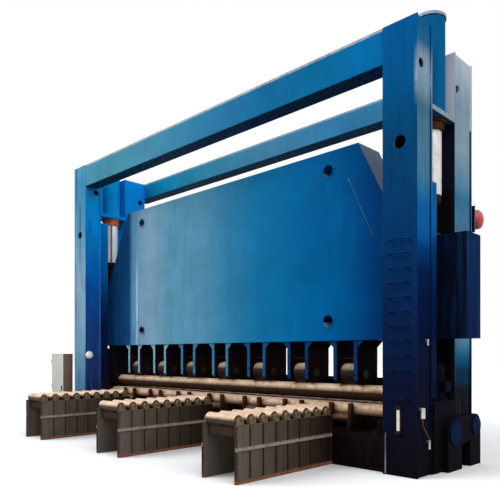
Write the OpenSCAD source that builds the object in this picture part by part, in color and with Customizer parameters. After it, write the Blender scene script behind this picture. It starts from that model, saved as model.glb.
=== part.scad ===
// Plate rolling machine with three horizontal rolls for long ship plate.
// Two portals carry a deep press beam on hydraulic rams; a comb of brackets under the beam
// backs up the upper roll, and a second comb on the bed backs up the two lower rolls.
// X runs along the rolls, -Y is the feeding side with the roller tables, Z = 0 is the floor.
// All lengths are in millimetres.

/* [Portals] */
// Clear distance between the two portals
portal_span = 10800; // [10400:50:12000]
// Width of a column along the machine
column_w = 700; // [660:10:900]
// Height of the front columns above the floor
column_h = 8240; // [7800:10:9000]
// Height of the rear columns above the floor
rear_column_h = 8095; // [7800:5:9000]
// Depth of a front column
front_column_d = 560; // [460:10:700]
// Depth of a rear column
rear_column_d = 780; // [600:10:900]
// Plate thickness of the columns
column_wall = 40; // [25:1:60]
// Overhang of the column flanges beyond the side webs
flange_lip = 30; // [15:1:60]
// Diameter of the lightening hole in the front face of a front column
face_hole_d = 240; // [120:5:300]
// Height of that hole above the floor
face_hole_z = 6045; // [5600:5:6500]
// Diameter of the lifting holes in the column sides
side_hole_d = 170; // [100:5:220]
// Distance of the lifting holes below the top of a rear column
side_hole_drop = 665; // [400:5:1000]
// Distance of the outer lifting holes behind the front of their column
side_hole_in = 195; // [150:5:230]
// Distance of the inner lifting holes ahead of the back of their column
inner_hole_back = 160; // [140:5:230]
// Underside of the crown plate that carries the ram
crown_z = 6715; // [6600:5:6900]
// Thickness of the crown plate
crown_t = 90; // [60:5:140]

/* [Tie beams] */
// Height of the front tie beam
tie_h = 680; // [400:10:760]
// Height of the rear tie beam
rear_tie_h = 515; // [400:5:700]
// Depth of the tie beams
tie_d = 420; // [300:10:440]
// Plate thickness of the tie beams
tie_wall = 25; // [12:1:40]
// Distance between the ends of the rear tie beam and the outer column faces
rear_tie_in = 220; // [100:10:400]
// Set-back of the front tie beam from the column faces
tie_inset = 12; // [5:1:40]
// Thickness of the end flanges of the front tie beam
tie_flange_t = 40; // [20:1:60]

/* [Press beam] */
// Thickness of the press beam
beam_t = 590; // [540:10:620]
// Extra depth of the beam's middle box behind its shoulders
beam_back = 205; // [150:5:260]
// Height of the press beam
beam_h = 4130; // [3700:10:4300]
// Height of the shoulders that run through the portals
shoulder_h = 1935; // [1600:5:2100]
// Half length of the beam's top edge
beam_top_half = 4300; // [3900:10:4600]
// Length of a shoulder outside its portal
shoulder_overhang = 520; // [200:10:700]
// Diameter of the four holes through the beam
beam_hole_d = 260; // [150:5:320]
// Half distance between the holes along the beam
beam_hole_x = 3520; // [3000:10:3800]
// Distance of the upper holes below the top of the beam
beam_hole_top = 420; // [260:5:600]
// Distance of the lower holes above the bottom of the beam
beam_hole_bottom = 430; // [300:5:600]
// Width of the welded ring around a hole
beam_ring_w = 35; // [20:1:60]
// Height of that ring above the plate
beam_ring_t = 12; // [5:1:25]
// Thickness of the bottom flange plate
beam_flange_t = 60; // [40:1:100]
// Overhang of the bottom flange plate
beam_flange_lip = 18; // [5:1:40]
// Space between the beam and the front columns
front_gap = 287; // [240:1:320]
// Space between the beam and the rear columns
rear_gap = 40; // [30:1:60]
// Running clearance of the beam in its guides
guide_clear = 1; // [0.5:0.1:2]

/* [Rams] */
// Outer diameter of a ram barrel
barrel_d = 620; // [580:5:640]
// Bore of a ram barrel
barrel_bore = 500; // [480:5:520]
// Height of a ram barrel above its crown plate
barrel_h = 1940; // [1800:5:2100]
// Thickness of the closed top of a barrel
barrel_cap_t = 120; // [80:5:160]
// Diameter of a plunger
plunger_d = 440; // [400:5:450]
// Height of a plunger with its piston
plunger_h = 1830; // [1800:5:1900]
// Height of the piston on top of a plunger
piston_h = 160; // [100:5:170]
// Outer diameter of a gland
gland_d = 600; // [560:5:640]
// Height of a gland below its crown plate
gland_h = 200; // [120:5:220]
// Height of the knuckle between a plunger and the beam
knuckle_h = 830; // [780:5:860]
// Diameter of the knuckle's neck
knuckle_neck_d = 240; // [200:5:300]

/* [Rolls] */
// Diameter of the upper roll
upper_roll_d = 340; // [300:5:360]
// Diameter of the lower rolls
lower_roll_d = 260; // [240:5:270]
// Half distance between the lower roll axes
lower_roll_y = 240; // [235:1:245]
// Height of the lower roll axes above the bed
lower_axis_h = 440; // [420:5:480]
// Height between the lower rolls and the upper roll at its lowest
plate_gap = 25; // [20:5:120]
// Diameter of the roll journals
journal_d = 180; // [150:5:200]
// Diameter of the driven shaft ends
shaft_d = 110; // [90:5:120]
// Rolling clearance between a roll and its backing rollers
roll_clear = 0.4; // [0.3:0.1:1]
// Radial running clearance of journals, pins and plungers
run_clear = 0.1; // [0.05:0.01:0.1]

/* [Backing combs] */
// Number of brackets in a comb, an odd number
bracket_count = 7; // [3:2:7]
// Distance between brackets
bracket_pitch = 1320; // [1200:10:1360]
// Distance between a bracket's middle and the middle of its cheek plates
cheek_offset = 265; // [250:5:290]
// Thickness of the upper cheek plates
cheek_t = 90; // [70:1:100]
// Height of the beam's underside above the upper roll axis
bracket_drop = 1120; // [1050:5:1200]
// Diameter of the upper backing rollers
upper_backing_d = 460; // [400:5:480]
// Face width of the upper backing rollers
upper_backing_w = 340; // [280:5:370]
// Diameter of the upper backing pins
upper_pin_d = 140; // [100:5:160]
// Leg of the gussets between the cheeks and the beam
gusset_leg = 150; // [80:5:200]
// Diameter of the lower backing rollers
lower_backing_d = 220; // [200:5:228]
// Face width of the lower backing rollers
lower_backing_w = 400; // [320:5:420]
// Diameter of the lower backing pins
lower_pin_d = 90; // [60:5:100]
// Thickness of the lower cheek plates
lower_cheek_t = 80; // [60:1:90]
// Clearance around a lower roll in its saddles
saddle_clear = 20; // [10:1:25]

/* [Bed] */
// Height of the bed
bed_h = 620; // [560:10:680]
// Half depth of the bed
bed_half_d = 1030; // [980:10:1080]
// Width of the foot ledge with the foundation holes
bed_ledge = 150; // [120:5:200]
// Thickness of the foot and top plates
bed_plate_t = 60; // [40:1:80]
// Thickness of the bed walls and ribs
bed_wall = 50; // [30:1:70]
// Diameter of the foundation holes
foundation_hole_d = 60; // [40:1:70]

/* [Roller tables] */
// Distance between the roller tables
table_pitch = 3615; // [3300:5:3700]
// Shift of the middle table towards the driven end
table_shift = 100; // [-200:10:200]
// Overall width of a table
table_w = 910; // [800:10:1000]
// Length of a table
table_l = 2670; // [2550:10:2800]
// Height of the table walls
table_wall_h = 995; // [900:5:1010]
// Thickness of the table walls
table_wall_t = 30; // [15:1:40]
// Outward depth of the ribs and rails on the walls
table_rib_d = 30; // [15:1:40]
// Width of a rib along the table
table_rib_w = 24; // [12:1:40]
// Distance of the first and last roller from the ends of a table
table_end_in = 115; // [80:5:150]
// Diameter of the table rollers
table_roller_d = 210; // [160:5:220]
// Height of the roller axes above the table walls
table_axis_h = 75; // [50:1:100]
// Diameter of the roller journals
table_journal_d = 60; // [40:1:70]

/* [Drive] */
// Length of the reducer along the machine
reducer_l = 600; // [560:10:640]
// Height of the reducer
reducer_h = 1330; // [1260:10:1400]
// Distance between the right bearing stand and the reducer
reducer_gap = 130; // [120:5:160]
// Side clearance of the reducer between the columns
reducer_clear = 18; // [10:1:30]
// Diameter of the shaft couplings
coupling_d = 170; // [150:5:175]
// Length of the shaft couplings
coupling_l = 90; // [70:5:100]
// Thickness of the gear case on the outside of the reducer
case_t = 130; // [100:5:200]
// Radius of the gear case around the driven wheel
case_r = 290; // [260:5:310]
// Radius of the gear case around its rear wheel
case_rear_r = 240; // [180:5:250]
// Distance between the two wheels of the gear case
case_reach = 900; // [700:10:950]
// Diameter of the motor
motor_d = 400; // [340:10:440]
// Length of the motor's finned body
motor_l = 520; // [420:10:560]

/* [Access and control] */
// Number of rungs on the right front column
rung_count = 12; // [6:1:13]
// Distance between rungs
rung_pitch = 262; // [240:1:280]
// Height of the lowest rung
rung_z = 1400; // [1350:10:1500]
// Width of a rung
rung_w = 350; // [300:10:420]
// Stand-off of a rung from the column
rung_out = 110; // [90:5:140]
// Diameter of the rung bar
rung_d = 28; // [20:1:34]
// Diameter of the largest lubricator bowl
lubricator_d = 90; // [70:5:120]
// Height of the largest lubricator bowl
lubricator_h = 200; // [150:5:240]
// Width of the electrical cabinet
cabinet_w = 800; // [600:10:1000]
// Depth of the electrical cabinet
cabinet_d = 340; // [300:10:500]
// Height of the electrical cabinet
cabinet_h = 2230; // [1800:10:2300]
// Wall thickness of the cabinet
cabinet_wall = 25; // [10:1:30]
// Distance between the cabinet and the left portal
cabinet_gap = 420; // [300:10:600]
// Diameter of the red pressure vessel
vessel_d = 400; // [340:5:420]
// Length of the pressure vessel
vessel_l = 800; // [720:10:820]

/* [Hidden] */
$fn = 96;

// Colours of the finishes
frame_blue = "#0a5c9c";
beam_blue = "#1270b0";
roll_steel = "#cdbfa8";
chrome_white = "#e4ebe9";
gland_bronze = "#8f5b45";
bracket_blue = "#24405f";
table_brown = "#6d6158";
cabinet_grey = "#c8c6c0";
vessel_red = "#a8202c";
drive_blue = "#123a66";
dark_steel = "#3a3836";

// Places along X
inner_x = portal_span / 2;
outer_x = inner_x + column_w;
column_x = inner_x + column_w / 2;
beam_half = outer_x + shoulder_overhang;
bearing_side_clear = 10;
bearing_w = 240;
bearing_x1 = inner_x - bearing_side_clear;
bearing_x0 = bearing_x1 - bearing_w;
roll_end_gap = 100;
roll_half = bearing_x0 - roll_end_gap;

// Places along Y
front_back_y = -beam_t / 2 - front_gap;
front_face_y = front_back_y - front_column_d;
rear_front_y = beam_t / 2 + rear_gap;
rear_back_y = rear_front_y + rear_column_d;
beam_back_y = beam_t / 2 + beam_back;

// Heights
lower_axis_z = bed_h + lower_axis_h;
upper_axis_z = lower_axis_z + lower_roll_d / 2 + plate_gap + upper_roll_d / 2;
beam_z = upper_axis_z + bracket_drop;
beam_top_z = beam_z + beam_h;
shoulder_z = beam_z + shoulder_h;
side_hole_z = rear_column_h - side_hole_drop;
tie_z = column_h - tie_h;
rear_tie_z = rear_column_h - rear_tie_h;
crown_top_z = crown_z + crown_t;
gland_z = crown_z - gland_h;
plunger_z = shoulder_z + knuckle_h;

// Backing rollers: one above the upper roll, a pair cradling each lower roll
upper_backing_z = upper_axis_z + (upper_roll_d + upper_backing_d) / 2 + roll_clear;
cradle_y = lower_roll_y / 2;
cradle_reach = (lower_roll_d + lower_backing_d) / 2 + roll_clear;
cradle_z = lower_axis_z - sqrt(cradle_reach * cradle_reach - cradle_y * cradle_y);
backing_rows = [-lower_roll_y - cradle_y, -lower_roll_y + cradle_y, lower_roll_y - cradle_y,
    lower_roll_y + cradle_y];
bracket_places = [for (i = [0 : bracket_count - 1]) (i - (bracket_count - 1) / 2) * bracket_pitch];
cheek_gap = 2 * cheek_offset - cheek_t;
cheek_side_clear = 4;
lower_cheek_offset = lower_backing_w / 2 + lower_cheek_t / 2 + 2 * cheek_side_clear;
lower_cheek_gap = 2 * lower_cheek_offset - lower_cheek_t;

// Drive line
reducer_x = bearing_x1 + reducer_gap;
reducer_x1 = reducer_x + reducer_l;
reducer_y0 = front_back_y + reducer_clear;
reducer_y1 = rear_front_y - reducer_clear;
shaft_seat = 140;
shaft_end_x = reducer_x + shaft_seat;
coupling_x = bearing_x1 + (reducer_gap - coupling_l) / 2;
case_y = 40;
case_z = 720;

// Tables, with one node for each of nine rows of rollers
table_rollers = 9;
table_y1 = -bed_half_d;
table_y0 = table_y1 - table_l;
table_half = table_w / 2;
table_wall_x = table_half - table_rib_d - table_wall_t;
table_axis_z = table_wall_h + table_axis_h;
table_roller_gap = 10;
table_block_t = 60;
table_block_x = table_wall_x - (table_block_t - table_wall_t) / 2;
table_roller_pitch = (table_l - 2 * table_end_in) / (table_rollers - 1);
function table_roller_y(row) = table_y1 - table_end_in - row * table_roller_pitch;

// Box between a low and a high value on each axis
module slab(x, y, z) {
    translate([x[0], y[0], z[0]])
        cube([x[1] - x[0], y[1] - y[0], z[1] - z[0]]);
}

// Round bar along X, from x0 to x1
module bar_x(d, x0, x1, y, z) {
    translate([x0, y, z])
        rotate([0, 90, 0])
            cylinder(d = d, h = x1 - x0);
}

// Round bar along Y, from y0 to y1
module bar_y(d, x, y0, y1, z) {
    translate([x, y0, z])
        rotate([-90, 0, 0])
            cylinder(d = d, h = y1 - y0);
}

// Outline in Y and Z, given its thickness along X about x = 0
module plate_yz(t) {
    rotate([90, 0, 90])
        linear_extrude(height = t, center = true)
            children();
}

// Outline in X and Z, given its thickness along Y about y = 0
module plate_xz(t) {
    rotate([90, 0, 0])
        linear_extrude(height = t, center = true)
            children();
}

// Turned piece along X: the outline gives radius and place along X
module turned_x(points) {
    rotate([0, 90, 0])
        rotate_extrude()
            polygon(points);
}

// Copy to the right end of the machine (side 1) or to the left end (side -1)
module at_end(side) {
    mirror([side < 0 ? 1 : 0, 0, 0])
        children();
}

// Copies at both ends of the machine
module both_ends() {
    at_end(1)
        children();
    at_end(-1)
        children();
}

// Welded box column with overhanging flanges, open at the floor; y0 and y1 are its faces, h its height
module column(y0, y1, h) {
    web_x0 = inner_x + flange_lip;
    web_x1 = outer_x - flange_lip;
    difference() {
        union() {
            slab([inner_x, outer_x], [y0, y0 + column_wall], [0, h]);
            slab([inner_x, outer_x], [y1 - column_wall, y1], [0, h]);
            slab([web_x0, web_x1], [y0, y1], [0, h]);
        }
        slab([web_x0 + column_wall, web_x1 - column_wall], [y0 + column_wall, y1 - column_wall],
            [-1, h - column_wall]);
        bar_x(side_hole_d, column_x, outer_x + 1, y0 + side_hole_in, side_hole_z);
        bar_x(side_hole_d, inner_x - 1, column_x, y1 - inner_hole_back, side_hole_z);
    }
}

module front_column(side) {
    color(frame_blue)
        at_end(side)
            difference() {
                column(front_face_y, front_back_y, column_h);
                bar_y(face_hole_d, column_x, front_face_y - 1, front_face_y + column_wall + 1, face_hole_z);
            }
}

module rear_column(side) {
    color(frame_blue)
        at_end(side)
            column(rear_front_y, rear_back_y, rear_column_h);
}

// Plate across a portal that carries the ram, bored for the plunger
module crown_plate(side) {
    plunger_room = 15;
    color(frame_blue)
        at_end(side)
            difference() {
                slab([inner_x, outer_x], [front_back_y, rear_front_y], [crown_z, crown_top_z]);
                translate([column_x, 0, crown_z - 1])
                    cylinder(d = plunger_d + 2 * plunger_room, h = crown_t + 2);
            }
}

// Welded tube between low and high Y and Z, from -half to half along X
module tie_tube(half, y, z) {
    difference() {
        slab([-half, half], y, z);
        slab([-half - 1, half + 1], [y[0] + tie_wall, y[1] - tie_wall], [z[0] + tie_wall, z[1] - tie_wall]);
    }
}

module front_tie_beam() {
    y0 = front_face_y + tie_inset;
    y1 = y0 + tie_d;
    flange_y0 = front_face_y + column_wall;
    color(frame_blue) {
        tie_tube(inner_x, [y0, y1], [tie_z, column_h]);
        both_ends()
            slab([inner_x - tie_flange_t, inner_x + flange_lip], [flange_y0, y1], [tie_z, column_h]);
    }
}

module rear_tie_beam() {
    color(frame_blue)
        tie_tube(outer_x - rear_tie_in, [rear_back_y, rear_back_y + tie_d], [rear_tie_z, rear_column_h]);
}

// Guide rails on the columns, in front of and behind the beam's shoulders
module beam_guides() {
    guide_in = 60;
    guide_foot = 60;
    guide_drop = 1300;
    guide_z0 = reducer_h + guide_foot;
    guide_z1 = crown_z - guide_drop;
    rail_w = 340;
    rail_gap = 20;
    color(frame_blue)
        both_ends() {
            slab([inner_x + guide_in, outer_x - guide_in], [front_back_y, -beam_t / 2 - guide_clear],
                [guide_z0, guide_z1]);
            slab([inner_x + guide_in, inner_x + guide_in + rail_w],
                [front_back_y, -beam_t / 2 - guide_clear], [guide_z0, gland_z - rail_gap]);
            slab([inner_x + guide_in, outer_x - guide_in], [beam_t / 2 + guide_clear, rear_front_y],
                [guide_z0, guide_z1]);
        }
}

// Deep-bored barrel with a closed top and a turned collar at its rim
module ram_barrel(side) {
    collar_h = 70;
    collar_in = 20;
    top = barrel_h;
    r = barrel_d / 2;
    color(frame_blue)
        at_end(side)
            translate([column_x, 0, crown_top_z])
                rotate_extrude()
                    polygon([[barrel_bore / 2, 0], [r, 0], [r, collar_h],
                        [r - collar_in, collar_h + collar_in], [r - collar_in, top - collar_h - collar_in],
                        [r, top - collar_h], [r, top - collar_in], [r - collar_in, top], [0, top],
                        [0, top - barrel_cap_t], [barrel_bore / 2, top - barrel_cap_t]]);
}

// Bronze gland bolted under the crown plate, with a stepped rim
module gland(side) {
    rim = 60;
    step = 30;
    r = gland_d / 2;
    bore_r = plunger_d / 2 + run_clear;
    color(gland_bronze)
        at_end(side)
            translate([column_x, 0, gland_z])
                rotate_extrude()
                    polygon([[bore_r, 0], [r - step, 0], [r - step, gland_h - rim], [r, gland_h - rim],
                        [r, gland_h], [bore_r, gland_h]]);
}

// Hollow-ground plunger with its piston inside the barrel
module plunger(side) {
    r = plunger_d / 2;
    piston_r = barrel_bore / 2 - run_clear;
    edge = 15;
    color(chrome_white)
        at_end(side)
            translate([column_x, 0, plunger_z])
                rotate_extrude()
                    polygon([[0, 0], [r - edge, 0], [r, edge], [r, plunger_h - piston_h],
                        [piston_r, plunger_h - piston_h], [piston_r, plunger_h], [0, plunger_h]]);
}

// Knuckle between plunger and shoulder: foot flange, neck and cup
module knuckle(side) {
    foot_d = 430;
    foot_h = 90;
    cup_h = 130;
    cup_d = plunger_d - 20;
    neck_r = knuckle_neck_d / 2;
    color(dark_steel)
        at_end(side)
            translate([column_x, 0, shoulder_z])
                rotate_extrude()
                    polygon([[0, 0], [foot_d / 2, 0], [foot_d / 2, foot_h], [neck_r, foot_h + 60],
                        [neck_r, knuckle_h - cup_h - 80], [cup_d / 2, knuckle_h - cup_h],
                        [cup_d / 2, knuckle_h], [0, knuckle_h]]);
}

// Press beam: deep plate box with sloped upper corners and shoulders through the portals
module press_beam() {
    box_half = inner_x - 100;
    slope = (beam_top_z - shoulder_z) / (inner_x - beam_top_half);
    box_corner_z = shoulder_z + (inner_x - box_half) * slope;
    color(beam_blue)
        difference() {
            union() {
                plate_xz(beam_t)
                    polygon([[-beam_half, beam_z], [beam_half, beam_z], [beam_half, shoulder_z],
                        [inner_x, shoulder_z], [beam_top_half, beam_top_z], [-beam_top_half, beam_top_z],
                        [-inner_x, shoulder_z], [-beam_half, shoulder_z]]);
                translate([0, beam_back_y / 2, 0])
                    plate_xz(beam_back_y)
                        polygon([[-box_half, beam_z], [box_half, beam_z], [box_half, box_corner_z],
                            [beam_top_half, beam_top_z], [-beam_top_half, beam_top_z],
                            [-box_half, box_corner_z]]);
                slab([-box_half, box_half], [-beam_t / 2 - beam_flange_lip, beam_back_y + beam_flange_lip],
                    [beam_z, beam_z + beam_flange_t]);
                beam_holes(beam_hole_d + 2 * beam_ring_w, beam_ring_t);
            }
            beam_holes(beam_hole_d, beam_ring_t + 1);
        }
}

// The four round places through the beam, proud of its faces by the given amount
module beam_holes(d, proud) {
    both_ends()
        for (z = [beam_z + beam_hole_bottom, beam_top_z - beam_hole_top])
            bar_y(d, beam_hole_x, -beam_t / 2 - proud, beam_back_y + proud, z);
}

// Upper comb: pairs of cheek plates with a stay plate and gussets, welded under the beam
module upper_brackets() {
    cheek_in = 10;
    cheek_y0 = -beam_t / 2 + cheek_in;
    cheek_y1 = beam_back_y - cheek_in;
    corner = 95;
    foot_clear = 14;
    foot_z = upper_axis_z + upper_roll_d / 2 + foot_clear;
    stay_y = 180;
    stay_z = upper_backing_z + upper_backing_d / 2 + 90;
    stay_t = 40;
    outer = cheek_offset + cheek_t / 2;
    gusset_t = 40;
    color(beam_blue)
        for (x = bracket_places)
            translate([x, 0, 0]) {
                difference() {
                    for (side = [-1, 1])
                        translate([side * cheek_offset, 0, 0])
                            plate_yz(cheek_t)
                                polygon([[cheek_y0, beam_z], [cheek_y0, foot_z + corner],
                                    [cheek_y0 + corner, foot_z], [cheek_y1, foot_z], [cheek_y1, beam_z]]);
                    bar_x(upper_pin_d + 2 * run_clear, -outer - 1, outer + 1, 0, upper_backing_z);
                }
                slab([-cheek_offset, cheek_offset], [-stay_y, stay_y], [stay_z, stay_z + stay_t]);
                for (side = [-1, 1], y = [cheek_y0 + gusset_t / 2, cheek_y1 - gusset_t / 2])
                    translate([0, y, 0])
                        plate_xz(gusset_t)
                            polygon([[side * cheek_offset, beam_z], [side * (outer + gusset_leg), beam_z],
                                [side * outer, beam_z - gusset_leg],
                                [side * cheek_offset, beam_z - gusset_leg]]);
            }
}

module upper_backing_pins() {
    head_l = 30;
    head_d = upper_pin_d + 50;
    outer = cheek_offset + cheek_t / 2;
    color(dark_steel)
        for (x = bracket_places)
            translate([x, 0, 0]) {
                bar_x(upper_pin_d, -outer - head_l, outer + head_l, 0, upper_backing_z);
                for (side = [-1, 1])
                    at_end(side)
                        bar_x(head_d, outer, outer + head_l, 0, upper_backing_z);
            }
}

// Hangers under the beam with the end bearings of the upper roll
module upper_roll_bearings() {
    hanger_y = beam_t / 2 - 5;
    eye_r = 220;
    neck_z = upper_axis_z + 400;
    color(bracket_blue)
        both_ends()
            difference() {
                union() {
                    translate([(bearing_x0 + bearing_x1) / 2, 0, 0])
                        plate_yz(bearing_w)
                            polygon([[-hanger_y, beam_z], [-hanger_y, neck_z], [-eye_r, upper_axis_z],
                                [eye_r, upper_axis_z], [hanger_y, neck_z], [hanger_y, beam_z]]);
                    bar_x(2 * eye_r, bearing_x0, bearing_x1, 0, upper_axis_z);
                }
                bar_x(journal_d + 2 * run_clear, bearing_x0 - 1, bearing_x1 + 1, 0, upper_axis_z);
            }
}

// Roll with chamfered barrel ends and journals; the right end runs on to x_end with its own diameter
module roll(d, end_d, x_end) {
    r = d / 2;
    jr = journal_d / 2;
    edge = 12;
    turned_x([[0, -bearing_x1], [jr, -bearing_x1], [jr, -roll_half], [r - edge, -roll_half],
        [r, -roll_half + edge], [r, roll_half - edge], [r - edge, roll_half], [jr, roll_half],
        [jr, bearing_x1], [end_d / 2, bearing_x1], [end_d / 2, x_end], [0, x_end]]);
}

module upper_roll() {
    stub_l = 8;
    color(roll_steel)
        translate([0, 0, upper_axis_z])
            roll(upper_roll_d, shaft_d, bearing_x1 + stub_l);
}

module lower_roll(side) {
    color(roll_steel)
        translate([0, side * lower_roll_y, lower_axis_z])
            roll(lower_roll_d, shaft_d, shaft_end_x);
}

// Backing roller with chamfered rims, side hubs and a bored middle
module backing_roller(d, w, hub_w, pin_d) {
    r = d / 2;
    edge = 8;
    bore_r = pin_d / 2 + run_clear;
    hub_r = pin_d / 2 + 30;
    turned_x([[bore_r, -hub_w / 2], [hub_r, -hub_w / 2], [hub_r, -w / 2], [r - edge, -w / 2],
        [r, -w / 2 + edge], [r, w / 2 - edge], [r - edge, w / 2], [hub_r, w / 2], [hub_r, hub_w / 2],
        [bore_r, hub_w / 2]]);
}

module upper_backing_rollers() {
    color(roll_steel)
        for (x = bracket_places)
            translate([x, 0, upper_backing_z])
                backing_roller(upper_backing_d, upper_backing_w, cheek_gap - 2 * cheek_side_clear,
                    upper_pin_d);
}

module backing_row(row) {
    color(roll_steel)
        for (x = bracket_places)
            translate([x, backing_rows[row], cradle_z])
                backing_roller(lower_backing_d, lower_backing_w, lower_cheek_gap - 2 * cheek_side_clear,
                    lower_pin_d);
}

// Lower comb: cheek plates with two saddles, standing in pairs on sole plates
module lower_brackets() {
    saddle_r = lower_roll_d / 2 + saddle_clear;
    horn_w = 90;
    cheek_y = lower_roll_y + saddle_r + horn_w;
    horn_drop = 6;
    horn_z = lower_axis_z + lower_roll_d / 2 - horn_drop;
    sole_t = 40;
    sole_x = lower_cheek_offset + lower_cheek_t / 2 + 70;
    shoulder_y = cheek_y + 70;
    color(bracket_blue)
        for (x = bracket_places)
            translate([x, 0, 0]) {
                difference() {
                    for (side = [-1, 1])
                        translate([side * lower_cheek_offset, 0, 0])
                            plate_yz(lower_cheek_t)
                                polygon([[-shoulder_y, bed_h], [shoulder_y, bed_h], [cheek_y, cradle_z],
                                    [cheek_y, horn_z], [-cheek_y, horn_z], [-cheek_y, cradle_z]]);
                    for (y = [-lower_roll_y, lower_roll_y]) {
                        bar_x(2 * saddle_r, -sole_x, sole_x, y, lower_axis_z);
                        slab([-sole_x, sole_x], [y - saddle_r, y + saddle_r], [lower_axis_z, horn_z + 1]);
                    }
                    for (y = backing_rows)
                        bar_x(lower_pin_d + 2 * run_clear, -sole_x, sole_x, y, cradle_z);
                }
                slab([-sole_x, sole_x], [-shoulder_y - 40, shoulder_y + 40], [bed_h, bed_h + sole_t]);
            }
}

module lower_backing_pins() {
    outer = lower_cheek_offset + lower_cheek_t / 2;
    proud = 15;
    color(dark_steel)
        for (x = bracket_places, y = backing_rows)
            translate([x, 0, 0])
                bar_x(lower_pin_d, -outer - proud, outer + proud, y, cradle_z);
}

// Bearing stands on the bed, one at each end for both lower rolls, with a long foot under the rolls
module lower_roll_bearings() {
    eye_d = journal_d + 100;
    stand_y = lower_roll_y + eye_d / 2;
    foot_l = 350;
    foot_clear = 40;
    foot_z = lower_axis_z - lower_roll_d / 2 - foot_clear;
    color(bracket_blue)
        both_ends()
            difference() {
                union() {
                    slab([bearing_x0, bearing_x1], [-stand_y, stand_y], [bed_h, lower_axis_z]);
                    slab([bearing_x0 - foot_l, bearing_x1], [-stand_y, stand_y], [bed_h, foot_z]);
                    for (y = [-lower_roll_y, lower_roll_y])
                        bar_x(eye_d, bearing_x0, bearing_x1, y, lower_axis_z);
                }
                for (y = [-lower_roll_y, lower_roll_y])
                    bar_x(journal_d + 2 * run_clear, bearing_x0 - 1, bearing_x1 + 1, y, lower_axis_z);
            }
}

// Two-part flange coupling on a driven shaft
module coupling(side) {
    flange_l = 40;
    hub_r = shaft_d / 2 + 14;
    r = coupling_d / 2;
    bore_r = shaft_d / 2 + run_clear;
    half = coupling_l / 2;
    color(dark_steel)
        translate([coupling_x + half, side * lower_roll_y, lower_axis_z])
            turned_x([[bore_r, -half], [hub_r, -half], [hub_r, -flange_l / 2], [r, -flange_l / 2],
                [r, flange_l / 2], [hub_r, flange_l / 2], [hub_r, half], [bore_r, half]]);
}

// Bed: open-bottomed weldment with foot ledges, ribs at every bracket and a machined top plate
module bed() {
    wall_y1 = bed_half_d - bed_ledge;
    wall_y0 = wall_y1 - bed_wall;
    foot_y0 = wall_y0 - bed_ledge;
    rib_in = 10;
    color(bracket_blue)
        difference() {
            union() {
                slab([-inner_x, inner_x], [-wall_y1, wall_y1], [bed_h - bed_plate_t, bed_h]);
                for (side = [0, 1])
                    mirror([0, side, 0]) {
                        slab([-inner_x, inner_x], [foot_y0, bed_half_d], [0, bed_plate_t]);
                        slab([-inner_x, inner_x], [wall_y0, wall_y1], [0, bed_h]);
                        for (x = bracket_places)
                            slab([x - bed_wall / 2, x + bed_wall / 2], [wall_y0, bed_half_d - rib_in],
                                [0, bed_h - bed_plate_t]);
                    }
                both_ends()
                    slab([inner_x - bed_wall, inner_x], [-bed_half_d, bed_half_d], [0, bed_h]);
                for (x = bracket_places)
                    slab([x - bed_wall / 2, x + bed_wall / 2], [-wall_y1, wall_y1], [bed_plate_t, bed_h]);
            }
            for (x = foundation_places, y = [-1, 1])
                translate([x, y * (bed_half_d - bed_ledge / 2), -1])
                    cylinder(d = foundation_hole_d, h = bed_plate_t + 2);
        }
}

// Foundation holes lie half-way between ribs, in two rectangles
foundation_places = [for (side = [-1, 1], k = [0.5, 2.5]) side * k * bracket_pitch];

// Reducer housing in the right portal: box with a split flange, a foot plate and two bored ends
module reducer() {
    foot_t = 70;
    split_t = 50;
    split_in = 25;
    color(drive_blue)
        difference() {
            union() {
                slab([reducer_x, reducer_x1], [reducer_y0 + split_in, reducer_y1], [0, reducer_h]);
                slab([reducer_x, reducer_x1], [reducer_y0, reducer_y1], [0, foot_t]);
                slab([reducer_x, reducer_x1], [reducer_y0, reducer_y1],
                    [lower_axis_z - split_t / 2, lower_axis_z + split_t / 2]);
                slab([reducer_x, reducer_x1], [reducer_y0, reducer_y1], [reducer_h - split_t, reducer_h]);
            }
            for (y = [-lower_roll_y, lower_roll_y])
                bar_x(shaft_d + 2 * run_clear, reducer_x - 1, shaft_end_x + 1, y, lower_axis_z);
        }
}

// Flat gear case on the outside of the reducer: two round lobes joined by straight sides, with covers
module gear_case() {
    x0 = reducer_x1;
    x1 = reducer_x1 + case_t;
    rear_y = case_y + case_reach;
    rear_z = case_z + 60;
    cover_t = 30;
    rim = 50;
    color(drive_blue) {
        bar_x(2 * case_r, x0, x1, case_y, case_z);
        bar_x(2 * case_rear_r, x0, x1, rear_y, rear_z);
        bar_x(2 * (case_r - rim), x1 - 1, x1 + cover_t, case_y, case_z);
        bar_x(2 * (case_rear_r - rim), x1 - 1, x1 + cover_t, rear_y, rear_z);
        translate([(x0 + x1) / 2, 0, 0])
            plate_yz(case_t)
                polygon([[case_y, case_z + case_r], [case_y, case_z - case_r],
                    [rear_y, rear_z - case_rear_r], [rear_y, rear_z + case_rear_r]]);
        slab([x0, x1], [case_y - case_r, case_y + case_r], [0, case_z]);
        slab([x0, x1], [rear_y - case_rear_r, rear_y + case_rear_r], [0, rear_z]);
    }
}

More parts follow.
